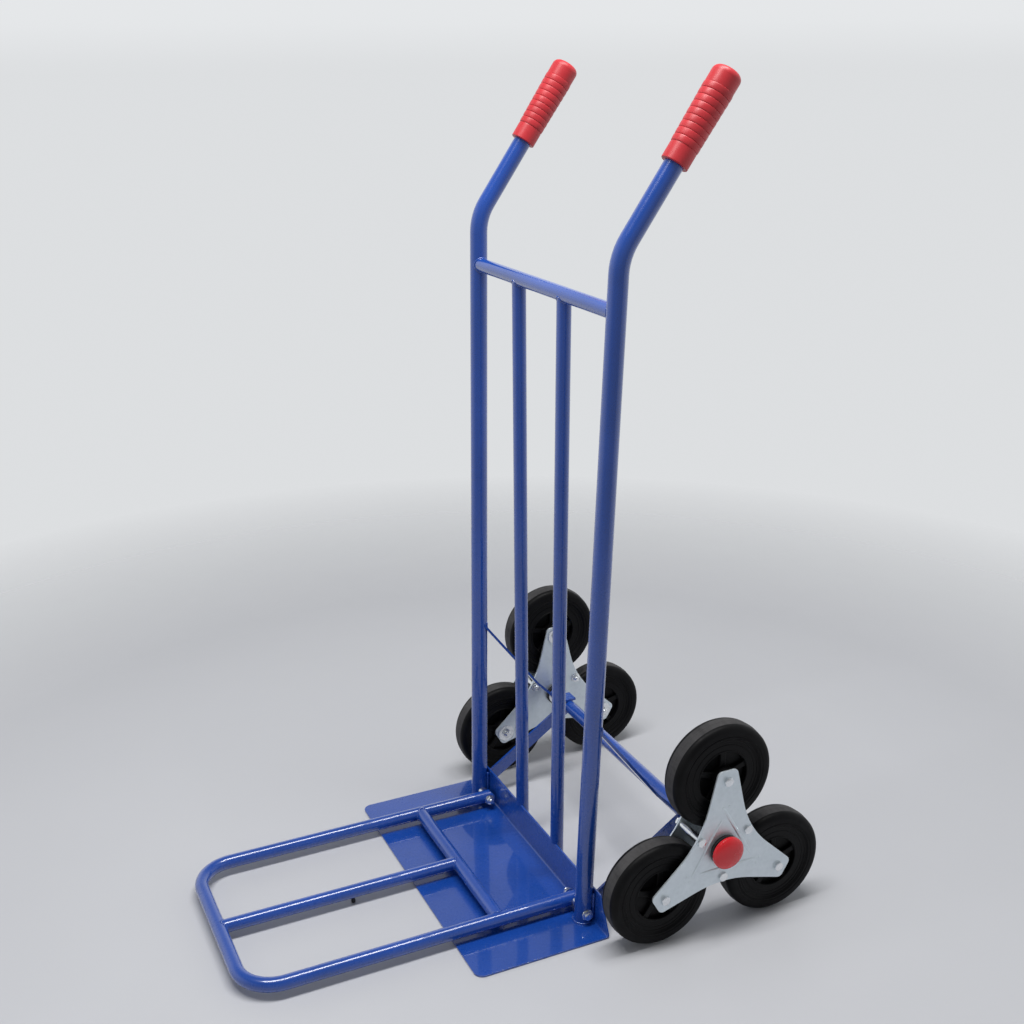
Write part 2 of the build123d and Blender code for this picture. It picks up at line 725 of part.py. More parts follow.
def rim_at(place):
    """Moulded rim: outer ring, long hub, closed web and ribs that leave pockets between them."""
    wheel_y, wheel_z = place
    wheel_plane = Plane(
        origin=(wheel_middle, wheel_y, wheel_z), x_dir=(0, 1, 0), z_dir=(1, 0, 0)
    )
    with BuildPart() as rim:
        with BuildSketch(wheel_plane):
            Circle(TYRE_SEAT_RADIUS)
            Circle(rim_ring_inside, mode=Mode.SUBTRACT)
        extrude(amount=rim_half, both=True)
        with BuildSketch(wheel_plane):
            Circle(RIM_HUB_RADIUS)
        extrude(amount=hub_half, both=True)
        with BuildSketch(wheel_plane):
            Circle(rim_ring_inside + RIM_OVERLAP)
        extrude(amount=RIM_WEB / 2, both=True)
        with BuildSketch(wheel_plane):
            with PolarLocations(0, RIM_RIBS, start_angle=90):
                Rectangle(
                    rim_ring_inside + RIM_OVERLAP, RIB_WIDTH, align=(Align.MIN, Align.CENTER)
                )
        extrude(amount=RIM_RIB_DEPTH / 2, both=True)
        with Locations(wheel_plane):
            Hole(WHEEL_TUBE_RADIUS + RUNNING_FIT)
    return rim.part


wheel_names = ("top", "front", "rear")
for wheel_name, wheel_place in zip(wheel_names, wheel_places):
    save_pair(tyre_at(wheel_place), f"tyre_{wheel_name}")
    save_pair(rim_at(wheel_place), f"rim_{wheel_name}")
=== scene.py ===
"""Looks of a stair-climbing sack truck with a folding extension, built around its CAD frame.

Metres throughout, in the frame's own axes: +X is one side, -Y the toe side, +Z is up.
"""

import json
import random
from math import cos, pi, radians, sin, sqrt, tan

import bmesh
import bpy
from mathutils import Matrix, Vector


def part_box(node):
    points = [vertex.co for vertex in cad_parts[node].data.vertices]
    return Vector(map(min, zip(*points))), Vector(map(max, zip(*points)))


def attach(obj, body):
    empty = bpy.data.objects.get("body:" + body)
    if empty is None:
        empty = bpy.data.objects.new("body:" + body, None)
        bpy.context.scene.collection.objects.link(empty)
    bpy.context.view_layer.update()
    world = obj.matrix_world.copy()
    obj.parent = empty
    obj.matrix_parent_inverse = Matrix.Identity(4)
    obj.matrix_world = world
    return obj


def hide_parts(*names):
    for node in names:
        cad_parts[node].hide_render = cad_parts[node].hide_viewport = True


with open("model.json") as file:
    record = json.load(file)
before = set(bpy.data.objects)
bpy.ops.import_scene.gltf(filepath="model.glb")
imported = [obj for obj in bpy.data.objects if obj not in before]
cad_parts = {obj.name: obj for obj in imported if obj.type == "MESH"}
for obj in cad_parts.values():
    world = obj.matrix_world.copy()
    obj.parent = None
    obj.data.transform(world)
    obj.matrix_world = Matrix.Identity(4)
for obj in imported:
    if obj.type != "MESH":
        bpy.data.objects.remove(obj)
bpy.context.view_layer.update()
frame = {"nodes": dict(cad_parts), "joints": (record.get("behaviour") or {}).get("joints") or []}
scene = bpy.context.scene
scene.view_settings.view_transform = "Standard"
nodes = frame["nodes"]
joints = {joint["name"]: Vector(joint["pos_m"]) for joint in frame["joints"]}
chance = random.Random(7)

MM = 0.001
SIDES = {"right": 1, "left": -1}
WHEELS = {"top": 90.0, "front": 210.0, "rear": 330.0}
X_AXIS = Vector((1, 0, 0))

# Camera, in metres and degrees
CAMERA_PLACE = (1.688721, -0.812459, 1.264929)
CAMERA_AZIMUTH = radians(64.991)
CAMERA_ELEVATION = radians(19.653)
CAMERA_ROLL = radians(-0.341)
CAMERA_LENS = 46.93
CAMERA_SENSOR = 36.0

# Uprights, which splay outwards and lean back
FOOT = Vector((0.1928, -0.0009, 0.003))
UPRIGHT_RUN = Vector((0.0267, 0.0251, 1.0))
UPRIGHT_RADIUS = 13.5 * MM
HANDLE_ANGLE = radians(34.6)
HANDLE_RUN = Vector((0, sin(HANDLE_ANGLE), cos(HANDLE_ANGLE)))
BEND_HEIGHT = 1.0034

# Grips, measured along the handle from the corner of its bend
GRIP_START = 132 * MM
GRIP_END = 266 * MM
GRIP_COLLAR = 24 * MM
GRIP_CROWN = 26 * MM
GRIP_LOW_RADIUS = 18.8 * MM
GRIP_HIGH_RADIUS = 20.4 * MM
GRIP_RINGS = 9

# Star plates, about the cluster's centre
STAR_TIP = 131 * MM
STAR_TIP_HALF = 16.0 * MM
STAR_NOTCH = 48 * MM
STAR_NOTCH_ROUND = 160 * MM
STAR_CORNER = 8.5 * MM
WHEEL_BOLT_RADIUS = 114.2 * MM
SPACER_BOLT_RADIUS = 46.6 * MM
BUSH_RADIUS = 14 * MM
BOLT_HOLE = 4.2 * MM

# Fasteners: M8 bolts, nuts and washers
SHANK = 4 * MM
ACROSS_FLATS = 13 * MM
NUT_COLLAR = 1.6 * MM


# --------------------------------------------------------------------------- mesh helpers


def upright_point(height):
    """Point on the +X upright's centre line at a height."""
    return FOOT + UPRIGHT_RUN * (height - FOOT.z)


def ring_of(centre, along, radius, count, turn=0.0):
    """Points of a circle about a line."""
    first = along.orthogonal().normalized()
    second = along.cross(first).normalized()
    points = []
    for k in range(count):
        angle = turn + 2 * pi * k / count
        points.append(centre + (first * cos(angle) + second * sin(angle)) * radius)
    return points


def skin(bm, loops, closed=False):
    """Faces between loops with the same number of points; open skins get a cap at each end."""
    rings = [[bm.verts.new(point) for point in loop] for loop in loops]
    pairs = list(zip(rings, rings[1:]))
    if closed:
        pairs.append((rings[-1], rings[0]))
    for low, high in pairs:
        for k in range(len(low)):
            n = (k + 1) % len(low)
            bm.faces.new((low[k], low[n], high[n], high[k]))
    if not closed:
        bm.faces.new(rings[0])
        bm.faces.new(rings[-1])
    return rings


def lathe(bm, profile, centre, axis=X_AXIS, count=72, marks=None):
    """Turn a profile of (along, radius) points about a line; the ends on the axis close it."""
    axis = Vector(axis).normalized()
    closed = profile[0][1] > 0 and profile[-1][1] > 0
    layer = bm.verts.layers.float.get("mark") if marks else None
    rings = []
    for index, (along, radius) in enumerate(profile):
        middle = Vector(centre) + axis * along
        points = ring_of(middle, axis, radius, count) if radius > 0 else [middle]
        ring = [bm.verts.new(point) for point in points]
        if marks:
            for vert in ring:
                vert[layer] = marks[index]
        rings.append(ring)
    pairs = list(zip(rings, rings[1:]))
    if closed:
        pairs.append((rings[-1], rings[0]))
    for low, high in pairs:
        for k in range(count):
            n = (k + 1) % count
            corners = [low[k % len(low)], low[n % len(low)], high[n % len(high)], high[k % len(high)]]
            corners = list(dict.fromkeys(corners))
            if len(corners) > 2:
                bm.faces.new(corners)


def arc(centre, radius, start, end, steps):
    """Points of an arc in a profile's plane, with angles in degrees."""
    points = []
    for k in range(steps + 1):
        angle = radians(start + (end - start) * k / steps)
        points.append((centre[0] + radius * cos(angle), centre[1] + radius * sin(angle)))
    return points


def rounded(corners, radii, steps=8):
    """A closed flat outline with each corner turned into an arc of its own radius."""
    outline = []
    for k, corner in enumerate(corners):
        before = (corners[k - 1] - corner).normalized()
        after = (corners[(k + 1) % len(corners)] - corner).normalized()
        half = before.angle(after) / 2
        middle = corner + (before + after).normalized() * radii[k] / sin(half)
        reach = radii[k] / tan(half)
        start = corner + before * reach - middle
        end = corner + after * reach - middle
        for step in range(steps + 1):
            spoke = start.lerp(end, step / steps).normalized() * radii[k]
            outline.append(middle + spoke)
    return outline


def inset(outline, distance):
    """The outline moved sideways, towards its left as its points run."""
    moved = []
    for k, point in enumerate(outline):
        run = (outline[(k + 1) % len(outline)] - outline[k - 1]).normalized()
        moved.append(point + Vector((-run.y, run.x)) * distance)
    return moved


def plate(bm, outline, holes, start, thickness, edge=0.5 * MM):
    """A flat plate across X with rounded edges; outlines run anticlockwise, holes clockwise."""
    layers = []
    for step in (0, 1, 2, 3):
        angle = radians(30 * step)
        layers.append((edge * (1 - sin(angle)), edge * (1 - cos(angle))))
    layers += [(inward, thickness - height) for inward, height in reversed(layers)]
    bottom, top = [], []
    for border in [outline] + holes:
        rings = []
        for inward, height in layers:
            points = inset(border, inward)
            rings.append([bm.verts.new((start + height, p.x, p.y)) for p in points])
        for low, high in zip(rings, rings[1:]):
            for k in range(len(low)):
                n = (k + 1) % len(low)
                bm.faces.new((low[k], low[n], high[n], high[k]))
        for ring, edges in ((rings[0], bottom), (rings[-1], top)):
            for k in range(len(ring)):
                edges.append(bm.edges.get((ring[k], ring[(k + 1) % len(ring)])))
    for edges in (bottom, top):
        bmesh.ops.triangle_fill(bm, use_beauty=True, use_dissolve=False, edges=edges)


def circle_outline(centre, radius, count=32):
    """A hole's outline, clockwise."""
    return [
        centre + Vector((cos(-2 * pi * k / count), sin(-2 * pi * k / count))) * radius
        for k in range(count)
    ]


def hexagon(bm, place, start, height, direction, chamfers=(True,), bore=0.0, dome=0.0):
    """A hexagon along X with turned chamfers; direction is the way it grows from start."""
    count = 48
    turn = chance.uniform(0, pi / 3)
    flat = ACROSS_FLATS / 2
    round_edge = flat * 0.97

    def loop(along, radius_of):
        points = []
        for k in range(count):
            angle = 2 * pi * k / count
            from_flat = (angle + pi / 6) % (pi / 3) - pi / 6
            corner = flat / cos(from_flat)
            radius, drop = radius_of(corner)
            x = start + direction * (along - drop)
            y = place.y + radius * cos(angle + turn)
            points.append(Vector((x, y, place.z + radius * sin(angle + turn))))
        return points

    def chamfer_drop(corner):
        return corner, (corner - round_edge) * tan(radians(30))

    loops = []
    if bore:
        loops.append(loop(0, lambda corner: (bore, 0)))
    if len(chamfers) > 1:
        loops.append(loop(0, lambda corner: (round_edge, 0)))
        loops.append(loop(0, lambda corner: (corner, -chamfer_drop(corner)[1])))
    else:
        loops.append(loop(0, lambda corner: (corner, 0)))
    loops.append(loop(height, chamfer_drop))
    loops.append(loop(height, lambda corner: (round_edge, 0)))
    if dome:
        loops.append(loop(height + 0.7 * dome, lambda corner: (0.62 * flat, 0)))
        loops.append(loop(height + dome, lambda corner: (0.3 * flat, 0)))
    if bore:
        loops.append(loop(height, lambda corner: (bore, 0)))
    skin(bm, loops, closed=bool(bore))


def threaded_end(bm, place, start, end):
    """A bolt's shank along X from start to a threaded, pointed end."""
    direction = 1 if end > start else -1
    pitch = 1.25 * MM
    length = abs(end - start)
    profile = [(0, 0), (0, SHANK)]
    along = max(0.0, length - 8 * pitch)
    while along < length - pitch:
        profile.append((along, SHANK))
        profile.append((along + 0.5 * pitch, SHANK - 0.55 * MM))
        along += pitch
    profile += [(length - 0.8 * MM, SHANK), (length, SHANK - 0.8 * MM), (length, 0)]
    lathe(bm, profile, (start, place.y, place.z), X_AXIS * direction, 24)


def bead(bm, path, radius, closed=False):
    """A weld bead: overlapping scallops of a round section along a path of close points."""
    count = 10
    loops = []
    total = len(path)
    phase = chance.uniform(0, pi)
    for k, point in enumerate(path):
        after = path[(k + 1) % total] if closed or k < total - 1 else point
        before = path[k - 1] if closed or k > 0 else point
        along = (after - before).normalized()
        scallop = abs(sin(k * 0.55 + phase))
        girth = radius * (0.86 + 0.14 * scallop + chance.uniform(-0.04, 0.04))
        if not closed:
            from_end = min(k, total - 1 - k)
            girth *= min(1.0, 0.35 + 0.22 * from_end)
        loops.append((point, along, girth))
    reference = (path[1] - path[0]).normalized().orthogonal()
    rings = []
    for point, along, girth in loops:
        reference = (reference - along * reference.dot(along)).normalized()
        second = along.cross(reference)
        ring = []
        for k in range(count):
            angle = 2 * pi * k / count
            ring.append(point + (reference * cos(angle) + second * sin(angle)) * girth)
        rings.append(ring)
    if closed:
        first = rings[0]
        shift = min(range(count), key=lambda s: (rings[-1][s] - first[0]).length)
        rings[0] = first
        last = rings[-1]
        rings[-1] = last[shift:] + last[:shift]
        rings = untwist(rings)
    skin(bm, rings, closed)


def untwist(rings):
    """Turn each ring's order so that it follows the ring before it."""
    lined_up = [rings[0]]
    for ring in rings[1:]:
        before = lined_up[-1]
        count = len(ring)
        shift = min(range(count), key=lambda s: (ring[s] - before[0]).length)
        lined_up.append(ring[shift:] + ring[:shift])
    return lined_up


def saddle(start, run, radius, other_start, other_run, other_radius, count=96):
    """The curve where a tube meets another: start is on the other's axis, run points away."""
    run = run.normalized()
    other_run = other_run.normalized()
    first = run.orthogonal().normalized()
    second = run.cross(first)
    across = run - other_run * run.dot(other_run)
    curve = []
    for k in range(count):
        angle = 2 * pi * k / count
        origin = start + (first * cos(angle) + second * sin(angle)) * radius
        offset = origin - other_start
        offset -= other_run * offset.dot(other_run)
        a = across.dot(across)
        b = 2 * offset.dot(across)
        c = offset.dot(offset) - other_radius * other_radius
        root = max(b * b - 4 * a * c, 0)
        curve.append(origin + run * (-b + sqrt(root)) / (2 * a))
    return curve


def line(start, end, step=0.6 * MM):
    """Close points along a straight line."""
    count = max(4, int((end - start).length / step))
    return [start.lerp(end, k / count) for k in range(count + 1)]


def piece(bm, name, material, body, stands_for=(), side=1, sharp=40):
    """Turn a mesh into a piece of the object; side -1 mirrors what was built for +X."""
    if side < 0:
        bmesh.ops.scale(bm, vec=(-1, 1, 1), verts=bm.verts)
    bmesh.ops.recalc_face_normals(bm, faces=bm.faces)
    mesh = bpy.data.meshes.new(name)
    bm.to_mesh(mesh)
    bm.free()
    mesh.shade_smooth()
    mesh.set_sharp_from_angle(angle=radians(sharp))
    obj = bpy.data.objects.new(name, mesh)
    scene.collection.objects.link(obj)
    mesh.materials.append(material)
    weighted = obj.modifiers.new("even_normals", "WEIGHTED_NORMAL")
    weighted.keep_sharp = True
    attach(obj, body)
    if stands_for:
        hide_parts(*stands_for)
    return obj


# --------------------------------------------------------------------------- materials


class Shader:
    """A Principled material and short calls for its textures, in the frame's metres."""

    def __init__(self, name, **sockets):
        self.material = bpy.data.materials.new(name)
        self.material.use_nodes = True
        self.tree = self.material.node_tree
        self.principled = self.tree.nodes["Principled BSDF"]
        self.place = self.tree.nodes.new("ShaderNodeTexCoord").outputs["Object"]
        for socket, value in sockets.items():
            self.principled.inputs[socket.replace("_", " ")].default_value = value

    def noise(self, scale, detail=3.0, rough=0.5, stretch=(1, 1, 1)):
        """Noise between 0 and 1, with scale in cycles a metre."""
        mapping = self.tree.nodes.new("ShaderNodeMapping")
        mapping.inputs["Scale"].default_value = stretch
        texture = self.tree.nodes.new("ShaderNodeTexNoise")
        texture.inputs["Scale"].default_value = scale
        texture.inputs["Detail"].default_value = detail
        texture.inputs["Roughness"].default_value = rough
        self.tree.links.new(self.place, mapping.inputs["Vector"])
        self.tree.links.new(mapping.outputs["Vector"], texture.inputs["Vector"])
        return texture.outputs["Fac"]

    def cells(self, scale, stretch=(1, 1, 1)):
        """A random value for each cell of a broken-up surface, as on zinc."""
        mapping = self.tree.nodes.new("ShaderNodeMapping")
        mapping.inputs["Scale"].default_value = stretch
        texture = self.tree.nodes.new("ShaderNodeTexVoronoi")
        texture.feature = "SMOOTH_F1"
        texture.inputs["Scale"].default_value = scale
        self.tree.links.new(self.place, mapping.inputs["Vector"])
        self.tree.links.new(mapping.outputs["Vector"], texture.inputs["Vector"])
        return texture.outputs["Distance"]

    def mark(self, name):
        """A value kept on the mesh's points."""
        attribute = self.tree.nodes.new("ShaderNodeAttribute")
        attribute.attribute_name = name
        return attribute.outputs["Fac"]

    def span(self, source, from_low, from_high, to_low, to_high):
        """The source, moved from one span of values to another and held inside it."""
        remap = self.tree.nodes.new("ShaderNodeMapRange")
        for socket, value in zip(remap.inputs[1:5], (from_low, from_high, to_low, to_high)):
            socket.default_value = value
        self.tree.links.new(source, remap.inputs[0])
        return remap.outputs[0]

    def math(self, operation, first, second):
        """Two values put together; the second may be a number."""
        node = self.tree.nodes.new("ShaderNodeMath")
        node.operation = operation
        self.tree.links.new(first, node.inputs[0])
        if isinstance(second, (int, float)):
            node.inputs[1].default_value = second
        else:
            self.tree.links.new(second, node.inputs[1])
        return node.outputs[0]

    def blend(self, factor, first, second):
        """A colour between two colours; either may come from another node."""
        mix = self.tree.nodes.new("ShaderNodeMix")
        mix.data_type = "RGBA"
        self.tree.links.new(factor, mix.inputs[0])
        for socket, colour in ((mix.inputs[6], first), (mix.inputs[7], second)):
            if isinstance(colour, tuple):
                socket.default_value = (*colour, 1)
            else:
                self.tree.links.new(colour, socket)
        return mix.outputs[2]

    def feed(self, socket, source):
        """Connect a varying value to the shader."""
        self.tree.links.new(source, self.principled.inputs[socket])

    def bump(self, height, distance, below=None):
        """Raise the surface by a height between 0 and 1 times a distance in metres."""
        node = self.tree.nodes.new("ShaderNodeBump")
        node.inputs["Distance"].default_value = distance
        self.tree.links.new(height, node.inputs["Height"])
        if below:
            self.tree.links.new(below, node.inputs["Normal"])
        return node.outputs["Normal"]


def blue_powder_coat(name, waviness):
    """Glossy royal-blue powder coat: orange peel, faint shade changes and fine rubbed marks."""
    shader = Shader(name, IOR=1.5, Coat_Weight=1.0, Coat_Roughness=0.03)
    shade = shader.span(shader.noise(9, 4, 0.55), 0.3, 0.7, 0, 1)
    rubbed = shader.span(shader.noise(38, 8, 0.72), 0.6, 0.78, 0, 0.25)
    colour = shader.blend(shade, (0.007, 0.056, 0.31), (0.010, 0.068, 0.38))
    shader.feed("Base Color", shader.blend(rubbed, colour, (0.015, 0.084, 0.42)))
    rough = shader.span(shader.noise(60, 6, 0.65), 0.3, 0.75, 0.24, 0.32)
    shader.feed("Roughness", shader.math("ADD", rough, shader.math("MULTIPLY", rubbed, 0.2)))
    peel = shader.bump(shader.noise(320, 2, 0.4), 0.006 * MM)
    wave = shader.bump(shader.noise(11, 2, 0.4), waviness, peel)
    shader.feed("Normal", wave)
    shader.feed("Coat Normal", wave)
    return shader.material


def zinc(name, light, dark, rough_low, rough_high, metallic, brushing=0.0):
    """Zinc plating: bluish silver in soft patches, fine rolling marks and small stains."""
    shader = Shader(name, Metallic=metallic, IOR=1.6)
    patches = shader.noise(55, 6, 0.6)
    spangle = shader.cells(160)
    mixed = shader.math("ADD", patches, shader.math("MULTIPLY", spangle, 0.35))
    mottled = shader.span(mixed, 0.4, 0.85, 0, 1)
    stains = shader.span(shader.noise(22, 8, 0.75), 0.6, 0.74, 0, 0.18)
    colour = shader.blend(mottled, dark, light)
    colour = shader.blend(stains, colour, tuple(0.85 * value for value in dark))
    shader.feed("Base Color", colour)
    rolling = shader.noise(240, 5, 0.6, (1, 1, 0.06))
    rough = shader.span(shader.math("ADD", rolling, patches), 0.7, 1.3, rough_low, rough_high)
    shader.feed("Roughness", rough)
    grain = shader.bump(rolling, 0.008 * MM + brushing)
    shader.feed("Normal", shader.bump(patches, 0.03 * MM, grain))
    return shader.material


def moulded(name, low, high, rough_low, rough_high, grain, depth, **sockets):
    """Moulded rubber or plastic: soft shade changes, a fine grain and dull rubbed areas."""
    shader = Shader(name, **sockets)
    shade = shader.span(shader.noise(30, 5, 0.6), 0.3, 0.7, 0, 1)
    shader.feed("Base Color", shader.blend(shade, low, high))
    shader.feed("Roughness", shader.span(shader.noise(70, 6, 0.7), 0.3, 0.7, rough_low, rough_high))
    fine = shader.bump(shader.noise(grain, 4, 0.6), depth)
    shader.feed("Normal", shader.bump(shader.noise(45, 3, 0.5), 0.06 * MM, fine))
    return shader.material


def tyre_rubber():
    """Black rubber whose tread is scuffed and grey with dust."""
    shader = Shader("tyre_rubber", IOR=1.5, Specular_IOR_Level=0.12)
    shade = shader.span(shader.noise(28, 5, 0.6), 0.3, 0.7, 0, 1)
    body = shader.blend(shade, (0.0028, 0.0028, 0.0034), (0.005, 0.005, 0.0058))
    dust = shader.span(shader.noise(34, 8, 0.68, (0.35, 1, 1)), 0.28, 0.72, 0.35, 1)
    worn = shader.math("MULTIPLY", shader.mark("mark"), dust)
    film = shader.math("MULTIPLY", shader.span(shader.noise(14, 6, 0.7), 0.45, 0.75, 0, 1), 0.025)
    colour = shader.blend(film, body, (0.09, 0.085, 0.08))
    shader.feed("Base Color", shader.blend(worn, colour, (0.085, 0.083, 0.085)))
    rough = shader.span(shader.noise(80, 5, 0.6), 0.3, 0.7, 0.42, 0.58)
    shader.feed("Roughness", shader.math("ADD", rough, shader.math("MULTIPLY", worn, 0.3)))
    grain = shader.bump(shader.noise(900, 3, 0.6), 0.03 * MM)
    shader.feed("Normal", shader.bump(shader.noise(120, 5, 0.65), 0.10 * MM, grain))
    return shader.material


blue_tube = blue_powder_coat("blue_coat_tubes", 0.05 * MM)
blue_sheet = blue_powder_coat("blue_coat_sheet", 0.15 * MM)
zinc_sheet = zinc("zinc_sheet", (0.74, 0.81, 0.86), (0.66, 0.73, 0.78), 0.38, 0.50, 0.75)
zinc_bright = zinc("zinc_bright", (0.86, 0.88, 0.90), (0.72, 0.75, 0.78), 0.14, 0.26, 0.98)
grip_vinyl = moulded(
    "grip_vinyl", (0.46, 0.022, 0.03), (0.56, 0.030, 0.040), 0.34, 0.5, 700, 0.035 * MM,
    IOR=1.5,
)
cap_plastic = moulded(
    "cap_plastic", (0.62, 0.010, 0.018), (0.72, 0.016, 0.026), 0.2, 0.3, 500, 0.006 * MM,
    IOR=1.5, Specular_IOR_Level=0.3, Coat_Weight=0.6, Coat_Roughness=0.04,
)
rim_plastic = moulded(
    "rim_plastic", (0.002, 0.002, 0.0025), (0.004, 0.004, 0.0046), 0.4, 0.52, 800, 0.02 * MM,
    IOR=1.48, Specular_IOR_Level=0.15,
)
bush_nylon = moulded(
    "bush_nylon", (0.010, 0.010, 0.011), (0.018, 0.018, 0.02), 0.4, 0.55, 700, 0.015 * MM,
    IOR=1.5,
)
foot_rubber = moulded(
    "foot_rubber", (0.01, 0.01, 0.011), (0.02, 0.02, 0.021), 0.6, 0.8, 600, 0.05 * MM, IOR=1.5,
)
tyre_black = tyre_rubber()

SLOT_MATERIALS = {
    "blue_coat": blue_tube,
    "zinc_plate": zinc_sheet,
    "zinc_hardware": zinc_bright,
    "grip_red": grip_vinyl,
    "cap_red": cap_plastic,
    "tyre_rubber": tyre_black,
    "rim_plastic": rim_plastic,
    "bush_nylon": bush_nylon,
    "foot_rubber": foot_rubber,
}
for node in nodes.values():
    slot_name = node.data.materials[0].name.split(".")[0]
    node.data.materials[0] = SLOT_MATERIALS[slot_name]


# --------------------------------------------------------------------------- toe plate


def toe_plate():
    """One bent sheet: a flat plate with round front corners and a rear flange with cut sides."""
    low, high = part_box("toe_plate")
    sheet = 3 * MM
    half = sheet / 2
    edge = 0.7 * MM
    corner = 14 * MM
    lean = UPRIGHT_RUN.y
    bend = 3 * MM + half
    flange_y = high.y - half - lean * high.z
    top_half_width = 219 * MM
    turn = pi / 2 - lean
    bend_start = flange_y + lean * half - bend * tan(turn / 2)
    sections = []

    def add_section(y, z, normal, half_width, half_thick, trim=0.0):
        sections.append((Vector((0, y, z)), normal, half_width - trim, half_thick))

    up = Vector((0, 0, 1))
    rim_steps = [(edge * (1 - sin(radians(a))), edge * (1 - cos(radians(a)))) for a in (0, 30, 60, 90)]

    def front_half_width(y):
        reach = corner - (y - low.y)
        if reach <= 0:
            return high.x
        return high.x - corner + sqrt(max(corner**2 - reach**2, 0))

    for thin, ahead in rim_steps:
        y = low.y + ahead
        add_section(y, half, up, front_half_width(y), half - thin, edge - ahead)
    for k in range(1, 17):
        y = low.y + edge + (corner - edge) * (k / 16) ** 1.7
        add_section(y, half, up, front_half_width(y), half)
    steps = 12
    for k in range(1, steps + 1):
        y = low.y + corner + (bend_start - low.y - corner) * k / steps
        add_section(y, half, up, high.x, half)
    middle = Vector((0, bend_start, half + bend))
    for k in range(1, 11):
        angle = turn * k / 10
        place = middle + Vector((0, sin(angle), -cos(angle))) * bend
        normal = Vector((0, -sin(angle), cos(angle)))
        width = flange_half_width(place.z, high, sheet, top_half_width)
        add_section(place.y, place.z, normal, width, half)
    flange_run = Vector((0, sin(lean), cos(lean)))
    base = middle + Vector((0, sin(turn), -cos(turn))) * bend
    length = (high.z - base.z) / flange_run.z
    normal = Vector((0, -cos(lean), sin(lean)))
    for k in range(1, 7):
        place = base + flange_run * (length - edge) * k / 6
        width = flange_half_width(place.z, high, sheet, top_half_width)
        add_section(place.y, place.z, normal, width, half)
    for thin, ahead in reversed(rim_steps[:-1]):
        place = base + flange_run * (length - ahead)
        width = flange_half_width(place.z, high, sheet, top_half_width)
        add_section(place.y, place.z, normal, width, half - thin, edge - ahead)

    loops = []
    for place, normal, half_width, half_thick in sections:
        loops.append(sheet_section(place, normal, half_width, half_thick, min(edge, half_thick)))
    bm = bmesh.new()
    skin(bm, loops)
    bmesh.ops.remove_doubles(bm, verts=bm.verts, dist=0.01 * MM)
    piece(bm, "toe_plate_sheet", blue_sheet, "frame", ["toe_plate"])


def sheet_section(place, normal, half_width, half_thick, edge):
    """One cross section of the sheet: two flat faces joined by rounded edges."""
    spread = [-1 + 2 * k / 24 for k in range(25)]

    def face(way, shares):
        flat = half_width - edge
        return [place + X_AXIS * share * flat + normal * way * half_thick for share in shares]

    def corner(way_x, way_normal, angles):
        points = []
        for angle in angles:
            out = half_width - edge * (1 - cos(radians(angle)))
            rise = half_thick - edge * (1 - sin(radians(angle)))
            points.append(place + X_AXIS * way_x * out + normal * way_normal * rise)
        return points

    loop = face(1, spread) + corner(1, 1, (60, 30, 0)) + corner(1, -1, (0, 30, 60))
    loop += face(-1, reversed(spread)) + corner(-1, -1, (60, 30, 0)) + corner(-1, 1, (0, 30, 60))
    return loop


def flange_half_width(height, plate_high, sheet, top_half_width):
    """The flange narrows from the plate's corner to its top edge."""
    share = max(0.0, (height - sheet) / (plate_high.z - sheet))
    return plate_high.x + (top_half_width - plate_high.x) * share


# --------------------------------------------------------------------------- grips and caps


def grip(name, side):
    """A red vinyl sleeve: plain collar, nine rings parted by grooves, and a round crown."""
    start = GRIP_START + GRIP_COLLAR
    end = GRIP_END - GRIP_CROWN
    pitch = (end - start) / GRIP_RINGS
    profile = [(GRIP_START, UPRIGHT_RADIUS), (GRIP_START, GRIP_LOW_RADIUS - 1.5 * MM)]
    profile += arc((GRIP_START + 1.2 * MM, GRIP_LOW_RADIUS - 1.2 * MM), 1.2 * MM, 180, 90, 4)
    profile += [(start - 2.2 * MM, GRIP_LOW_RADIUS)]
    for ring in range(GRIP_RINGS):
        for share in (0.0, 0.03, 0.08, 0.16, 0.3, 0.5, 0.7, 0.84, 0.92, 0.97):
            base = GRIP_LOW_RADIUS + (GRIP_HIGH_RADIUS - GRIP_LOW_RADIUS) * (ring + share) / GRIP_RINGS
            swell = 1.2 * MM * sin(pi * share) ** 0.22 - 0.6 * MM
            profile.append((start + (ring + share) * pitch, base + swell))
    profile += [(end, GRIP_HIGH_RADIUS - 0.5 * MM), (end + 0.6 * MM, GRIP_HIGH_RADIUS - 0.1 * MM)]
    crown = 9 * MM
    profile += arc((GRIP_END - crown, GRIP_HIGH_RADIUS - crown), crown, 90, 5, 14)
    profile += [(GRIP_END, GRIP_HIGH_RADIUS - crown - 1 * MM), (GRIP_END, 4 * MM)]
    profile += [(GRIP_END - 1.2 * MM, 3 * MM), (GRIP_END - 1.2 * MM, 0)]
    inside = [(GRIP_START + 3 * MM, 0), (GRIP_START + 3 * MM, UPRIGHT_RADIUS - 0.5 * MM)]
    profile = inside + profile
    bm = bmesh.new()
    lathe(bm, profile, upright_point(BEND_HEIGHT), HANDLE_RUN, 96)
    piece(bm, f"{name}_sleeve", grip_vinyl, "frame", [name], side, 50)


